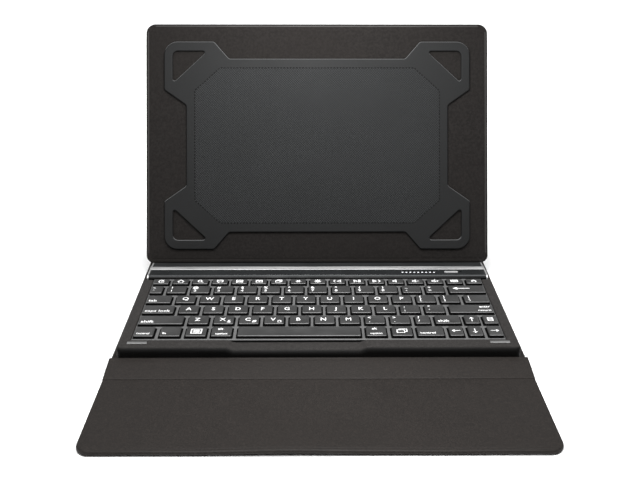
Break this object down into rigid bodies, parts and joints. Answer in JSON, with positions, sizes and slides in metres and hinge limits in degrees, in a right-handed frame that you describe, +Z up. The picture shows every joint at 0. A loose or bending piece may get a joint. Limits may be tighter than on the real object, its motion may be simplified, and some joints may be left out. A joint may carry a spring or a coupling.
{
  "type": "tablet keyboard case",
  "caption": "Folio case that props a tablet on a leaning panel with a rubber corner mat, above a removable wireless keyboard, with a folding front flap.",
  "frame": {"origin": "centre of the underside of the base, on the surface that the case rests on", "axes": "+X to the user's right, +Y away from the user towards the leaning panel, +Z up"},
  "size_m": [0.2768, 0.3262, 0.1917],
  "materials": {
    "outer_cover": "matte imitation leather",
    "lining": "matte brushed lining",
    "tray_fabric": "matte, wrapped over a moulding",
    "stiffener": "matte",
    "mat_rubber": "matte with fine raised texture",
    "case_plastic": "fine matte",
    "deck_plastic": "satin",
    "key_plastic": "satin with pale legends",
    "gloss_black": "gloss",
    "light_lens": "milky",
    "switch_plastic": "satin",
    "bright_metal": "satin",
    "contact_metal": "satin",
    "magnet": "plain",
    "socket_metal": "plain",
    "membrane_rubber": "matte",
    "board_laminate": "satin",
    "battery_foil": "satin foil"
  },
  "bodies": {
    "base": {"base_outer_cover": "outer_cover", "base_board": "stiffener", "base_lining": "lining", "keyboard_tray": "tray_fabric", "tray_contact_bars": "contact_metal", "rail_magnets": "magnet"},
    "panel": {"panel_lining": "lining", "panel_board": "stiffener", "panel_foot_steel": "magnet", "panel_back_cover": "outer_cover", "mat_centre": "mat_rubber"},
    "rear_leg": {"rear_leg_cover": "outer_cover", "rear_leg_board": "stiffener"},
    "spine": {"spine_cover": "outer_cover", "spine_board": "stiffener"},
    "front_strip": {"front_strip_cover": "outer_cover", "front_strip_board": "stiffener"},
    "front_flap": {"front_flap_cover": "outer_cover", "front_flap_board": "stiffener", "flap_magnets": "magnet"},
    "keyboard": {"keyboard_bottom_case": "case_plastic", "case_screws": "magnet", "keyboard_deck": "deck_plastic", "key_membrane": "membrane_rubber", "circuit_board": "board_laminate", "bar_housing": "case_plastic", "charging_socket": "socket_metal", "bar_end_plates": "bright_metal", "indicator_panel": "gloss_black", "indicator_lights": "light_lens", "bar_trim_strip": "bright_metal", "battery_cells": "battery_foil"},
    "power_switch": {"power_switch_knob": "switch_plastic"},
    "corner_loop_top_right": {"corner_loop_top_right": "mat_rubber"},
    "corner_loop_bottom_right": {"corner_loop_bottom_right": "mat_rubber"},
    "corner_loop_top_left": {"corner_loop_top_left": "mat_rubber"},
    "corner_loop_bottom_left": {"corner_loop_bottom_left": "mat_rubber"},
    "escape_key": {"escape_key": "key_plastic"},
    "function_row_keys": {"function_row_keys": "key_plastic"},
    "lock_key": {"lock_key": "key_plastic"},
    "number_row_keys": {"number_row_keys": "key_plastic"},
    "backspace_key": {"backspace_key": "key_plastic"},
    "tab_key": {"tab_key": "key_plastic"},
    "upper_letter_keys": {"upper_letter_keys": "key_plastic"},
    "caps_lock_key": {"caps_lock_key": "key_plastic"},
    "home_letter_keys": {"home_letter_keys": "key_plastic"},
    "enter_key": {"enter_key": "key_plastic"},
    "left_shift_key": {"left_shift_key": "key_plastic"},
    "lower_letter_keys": {"lower_letter_keys": "key_plastic"},
    "right_shift_key": {"right_shift_key": "key_plastic"},
    "up_arrow_key": {"up_arrow_key": "key_plastic"},
    "page_key": {"page_key": "key_plastic"},
    "left_control_key": {"left_control_key": "key_plastic"},
    "layer_key": {"layer_key": "key_plastic"},
    "modifier_keys": {"modifier_keys": "key_plastic"},
    "space_key": {"space_key": "key_plastic"},
    "right_control_key": {"right_control_key": "key_plastic"},
    "left_arrow_key": {"left_arrow_key": "key_plastic"},
    "down_arrow_key": {"down_arrow_key": "key_plastic"},
    "right_arrow_key": {"right_arrow_key": "key_plastic"}
  },
  "joints": [
    {"name": "panel_fold", "type": "hinge", "parent": "base", "child": "panel", "pos_m": [0, 0.07092, 0.0335], "axis": [1, 0, 0], "range_deg": [0, 110.8]},
    {"name": "leg_fold", "type": "hinge", "parent": "panel", "child": "rear_leg", "pos_m": [0, 0.10659, 0.14118], "axis": [1, 0, 0], "range_deg": [-30, 1]},
    {"name": "spine_fold", "type": "hinge", "parent": "base", "child": "spine", "pos_m": [0, 0.0966, 0.0024], "axis": [1, 0, 0], "range_deg": [-1, 91]},
    {"name": "strip_fold", "type": "hinge", "parent": "base", "child": "front_strip", "pos_m": [0, -0.096, 0.0062], "axis": [-1, 0, 0], "range_deg": [0, 97]},
    {"name": "flap_fold", "type": "hinge", "parent": "front_strip", "child": "front_flap", "pos_m": [0, -0.1189, 0.0031], "axis": [-1, 0, 0], "range_deg": [0, 82]},
    {"name": "keyboard_lift", "type": "slide", "parent": "base", "child": "keyboard", "axis": [0, 0, -1], "range_m": [-0.01, 0]},
    {"name": "power_switch_slide", "type": "slide", "parent": "keyboard", "child": "power_switch", "axis": [1, 0, 0], "range_m": [0, 0.0024]},
    {"name": "corner_loop_top_right_stretch", "type": "hinge", "parent": "panel", "child": "corner_loop_top_right", "pos_m": [0.06721, 0.11188, 0.17227], "axis": [-0.7482, 0.2356, 0.6202], "range_deg": [-30, 0], "stiffness_Nm_per_rad": 0.02},
    {"name": "corner_loop_bottom_right_stretch", "type": "hinge", "parent": "panel", "child": "corner_loop_bottom_right", "pos_m": [0.06721, 0.05804, 0.03055], "axis": [0.7482, 0.2356, 0.6202], "range_deg": [-30, 0], "stiffness_Nm_per_rad": 0.02},
    {"name": "corner_loop_top_left_stretch", "type": "hinge", "parent": "panel", "child": "corner_loop_top_left", "pos_m": [-0.06721, 0.11188, 0.17227], "axis": [-0.7482, -0.2356, -0.6202], "range_deg": [-30, 0], "stiffness_Nm_per_rad": 0.02},
    {"name": "corner_loop_bottom_left_stretch", "type": "hinge", "parent": "panel", "child": "corner_loop_bottom_left", "pos_m": [-0.06721, 0.05804, 0.03055], "axis": [0.7482, -0.2356, -0.6202], "range_deg": [-30, 0], "stiffness_Nm_per_rad": 0.02},
    {"name": "escape_key_press", "type": "slide", "parent": "keyboard", "child": "escape_key", "axis": [0, 0, -1], "range_m": [0, 0.0015], "stiffness_N_per_m": 300},
    {"name": "function_row_keys_press", "type": "slide", "parent": "keyboard", "child": "function_row_keys", "axis": [0, 0, -1], "range_m": [0, 0.0015], "stiffness_N_per_m": 4500},
    {"name": "lock_key_press", "type": "slide", "parent": "keyboard", "child": "lock_key", "axis": [0, 0, -1], "range_m": [0, 0.0015], "stiffness_N_per_m": 300},
    {"name": "number_row_keys_press", "type": "slide", "parent": "keyboard", "child": "number_row_keys", "axis": [0, 0, -1], "range_m": [0, 0.0015], "stiffness_N_per_m": 3900},
    {"name": "backspace_key_press", "type": "slide", "parent": "keyboard", "child": "backspace_key", "axis": [0, 0, -1], "range_m": [0, 0.0015], "stiffness_N_per_m": 300},
    {"name": "tab_key_press", "type": "slide", "parent": "keyboard", "child": "tab_key", "axis": [0, 0, -1], "range_m": [0, 0.0015], "stiffness_N_per_m": 300},
    {"name": "upper_letter_keys_press", "type": "slide", "parent": "keyboard", "child": "upper_letter_keys", "axis": [0, 0, -1], "range_m": [0, 0.0015], "stiffness_N_per_m": 3900},
    {"name": "caps_lock_key_press", "type": "slide", "parent": "keyboard", "child": "caps_lock_key", "axis": [0, 0, -1], "range_m": [0, 0.0015], "stiffness_N_per_m": 300},
    {"name": "home_letter_keys_press", "type": "slide", "parent": "keyboard", "child": "home_letter_keys", "axis": [0, 0, -1], "range_m": [0, 0.0015], "stiffness_N_per_m": 3300},
    {"name": "enter_key_press", "type": "slide", "parent": "keyboard", "child": "enter_key", "axis": [0, 0, -1], "range_m": [0, 0.0015], "stiffness_N_per_m": 300},
    {"name": "left_shift_key_press", "type": "slide", "parent": "keyboard", "child": "left_shift_key", "axis": [0, 0, -1], "range_m": [0, 0.0015], "stiffness_N_per_m": 300},
    {"name": "lower_letter_keys_press", "type": "slide", "parent": "keyboard", "child": "lower_letter_keys", "axis": [0, 0, -1], "range_m": [0, 0.0015], "stiffness_N_per_m": 3000},
    {"name": "right_shift_key_press", "type": "slide", "parent": "keyboard", "child": "right_shift_key", "axis": [0, 0, -1], "range_m": [0, 0.0015], "stiffness_N_per_m": 300},
    {"name": "up_arrow_key_press", "type": "slide", "parent": "keyboard", "child": "up_arrow_key", "axis": [0, 0, -1], "range_m": [0, 0.0015], "stiffness_N_per_m": 300},
    {"name": "page_key_press", "type": "slide", "parent": "keyboard", "child": "page_key", "axis": [0, 0, -1], "range_m": [0, 0.0015], "stiffness_N_per_m": 300},
    {"name": "left_control_key_press", "type": "slide", "parent": "keyboard", "child": "left_control_key", "axis": [0, 0, -1], "range_m": [0, 0.0015], "stiffness_N_per_m": 300},
    {"name": "layer_key_press", "type": "slide", "parent": "keyboard", "child": "layer_key", "axis": [0, 0, -1], "range_m": [0, 0.0015], "stiffness_N_per_m": 300},
    {"name": "modifier_keys_press", "type": "slide", "parent": "keyboard", "child": "modifier_keys", "axis": [0, 0, -1], "range_m": [0, 0.0015], "stiffness_N_per_m": 1200},
    {"name": "space_key_press", "type": "slide", "parent": "keyboard", "child": "space_key", "axis": [0, 0, -1], "range_m": [0, 0.0015], "stiffness_N_per_m": 300},
    {"name": "right_control_key_press", "type": "slide", "parent": "keyboard", "child": "right_control_key", "axis": [0, 0, -1], "range_m": [0, 0.0015], "stiffness_N_per_m": 300},
    {"name": "left_arrow_key_press", "type": "slide", "parent": "keyboard", "child": "left_arrow_key", "axis": [0, 0, -1], "range_m": [0, 0.0015], "stiffness_N_per_m": 300},
    {"name": "down_arrow_key_press", "type": "slide", "parent": "keyboard", "child": "down_arrow_key", "axis": [0, 0, -1], "range_m": [0, 0.0015], "stiffness_N_per_m": 300},
    {"name": "right_arrow_key_press", "type": "slide", "parent": "keyboard", "child": "right_arrow_key", "axis": [0, 0, -1], "range_m": [0, 0.0015], "stiffness_N_per_m": 300}
  ],
  "couplings": [
    {"joint": "leg_fold", "follows": "panel_fold", "ratio": -0.24914},
    {"joint": "spine_fold", "follows": "panel_fold", "ratio": 0.81227}
  ]
}
